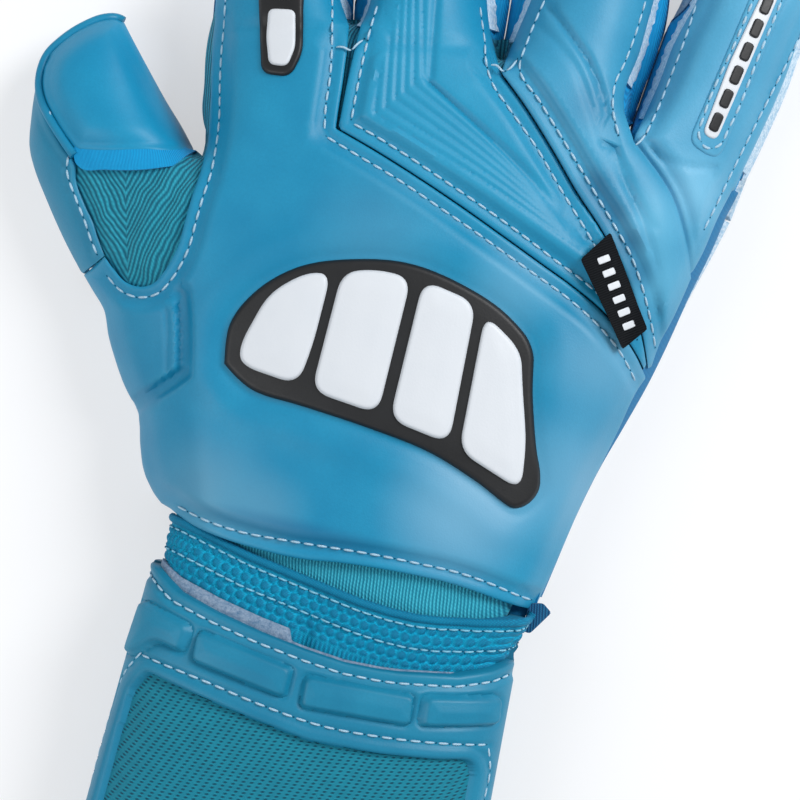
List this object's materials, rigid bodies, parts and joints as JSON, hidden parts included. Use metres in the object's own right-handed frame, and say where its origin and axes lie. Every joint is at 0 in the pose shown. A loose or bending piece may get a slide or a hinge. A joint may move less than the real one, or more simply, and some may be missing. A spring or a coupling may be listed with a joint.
{
  "type": "goalkeeper glove",
  "caption": "Right-hand goalkeeper's glove lying on its palm, with hinged fingers and thumb, a stretch wrist and a wide hook-and-loop strap.",
  "frame": {"origin": "middle of the palm's underside, on the surface that the glove lies on", "axes": "+Y from the wrist to the fingertips, +X towards the little finger, +Z out of the back of the hand"},
  "size_m": [0.1793, 0.2899, 0.039],
  "materials": {
    "latex_foam": "embossed matt latex foam",
    "palm_foam": "raw latex foam",
    "lycra": "stretch knit, slight sheen",
    "knit_mesh": "ribbed open knit",
    "webbing": "ribbed elastic webbing",
    "felt": "brushed loop felt",
    "hook_tape": "moulded hook tape",
    "black_rubber": "moulded matt rubber",
    "white_rubber": "moulded matt rubber",
    "label_weave": "folded woven label"
  },
  "bodies": {
    "hand": {"palm": "palm_foam", "back_panel": "latex_foam", "knuckle_panel": "latex_foam", "outer_panel": "latex_foam", "outer_side_strip": "lycra", "wrist_mesh": "knit_mesh", "wrist_sleeve": "webbing", "wrist_elastic": "webbing", "elastic_binding": "lycra", "strap_band": "latex_foam", "loop_patch": "felt", "back_patch_base": "black_rubber", "back_patch_block_1": "white_rubber", "back_patch_block_2": "white_rubber", "back_patch_block_3": "white_rubber", "back_patch_block_4": "white_rubber"},
    "index_finger": {"index_back": "latex_foam", "index_palm": "palm_foam", "index_gusset_a": "lycra", "index_gusset_b": "lycra", "index_liner": "knit_mesh", "index_patch_base": "black_rubber", "index_patch_block_1": "white_rubber", "index_patch_block_2": "white_rubber"},
    "middle_finger": {"middle_back": "latex_foam", "middle_palm": "palm_foam", "middle_gusset_a": "lycra", "middle_gusset_b": "lycra", "middle_liner": "knit_mesh"},
    "ring_finger": {"ring_back": "latex_foam", "ring_palm": "palm_foam", "ring_gusset_a": "lycra", "ring_gusset_b": "lycra", "ring_liner": "knit_mesh"},
    "little_finger": {"little_back": "latex_foam", "little_palm": "palm_foam", "little_gusset_a": "lycra", "little_gusset_b": "lycra", "little_liner": "knit_mesh", "little_badge": "white_rubber"},
    "thumb": {"thumb_cap": "latex_foam", "thumb_wrap": "latex_foam", "thumb_gusset": "lycra", "thumb_palm": "palm_foam", "thumb_mesh": "knit_mesh"},
    "strap": {"strap_cover": "latex_foam", "strap_window_mesh": "knit_mesh", "strap_felt": "felt", "hook_patch": "hook_tape"},
    "label": {"woven_label": "label_weave"},
    "tab": {"pull_tab": "lycra"}
  },
  "joints": [
    {"name": "index_flex", "type": "hinge", "parent": "hand", "child": "index_finger", "pos_m": [-0.0474, 0.077, 0.007], "axis": [-0.9781, -0.2079, 0], "range_deg": [0, 75], "stiffness_Nm_per_rad": 0.12, "deforming": ["index_liner"]},
    {"name": "middle_flex", "type": "hinge", "parent": "hand", "child": "middle_finger", "pos_m": [-0.012, 0.08, 0.007], "axis": [-0.9833, -0.1822, 0], "range_deg": [0, 75], "stiffness_Nm_per_rad": 0.12, "deforming": ["middle_liner"]},
    {"name": "ring_flex", "type": "hinge", "parent": "hand", "child": "ring_finger", "pos_m": [0.0223, 0.079, 0.007], "axis": [-0.9981, 0.0611, 0], "range_deg": [0, 75], "stiffness_Nm_per_rad": 0.12, "deforming": ["ring_liner"]},
    {"name": "little_flex", "type": "hinge", "parent": "hand", "child": "little_finger", "pos_m": [0.0543, 0.07, 0.007], "axis": [-0.9833, 0.1822, 0], "range_deg": [0, 75], "stiffness_Nm_per_rad": 0.12, "deforming": ["little_liner"]},
    {"name": "thumb_flex", "type": "hinge", "parent": "hand", "child": "thumb", "pos_m": [-0.07, 0.02, 0.007], "axis": [-0.866, -0.5, 0], "range_deg": [0, 50], "stiffness_Nm_per_rad": 0.12, "deforming": ["thumb_mesh"]},
    {"name": "strap_open", "type": "hinge", "parent": "hand", "child": "strap", "pos_m": [-0.0521, -0.0905, 0.0195], "axis": [0, -1, 0], "range_deg": [0, 120]},
    {"name": "label_flip", "type": "hinge", "parent": "hand", "child": "label", "pos_m": [0.04635, 0.03945, 0.033], "axis": [-0.5835, 0.8121, 0], "range_deg": [0, 110], "stiffness_Nm_per_rad": 0.001},
    {"name": "pull_tab_flip", "type": "hinge", "parent": "hand", "child": "tab", "pos_m": [0.0407, -0.0425, 0.0168], "axis": [0, 1, 0], "range_deg": [0, 70], "stiffness_Nm_per_rad": 0.001}
  ]
}
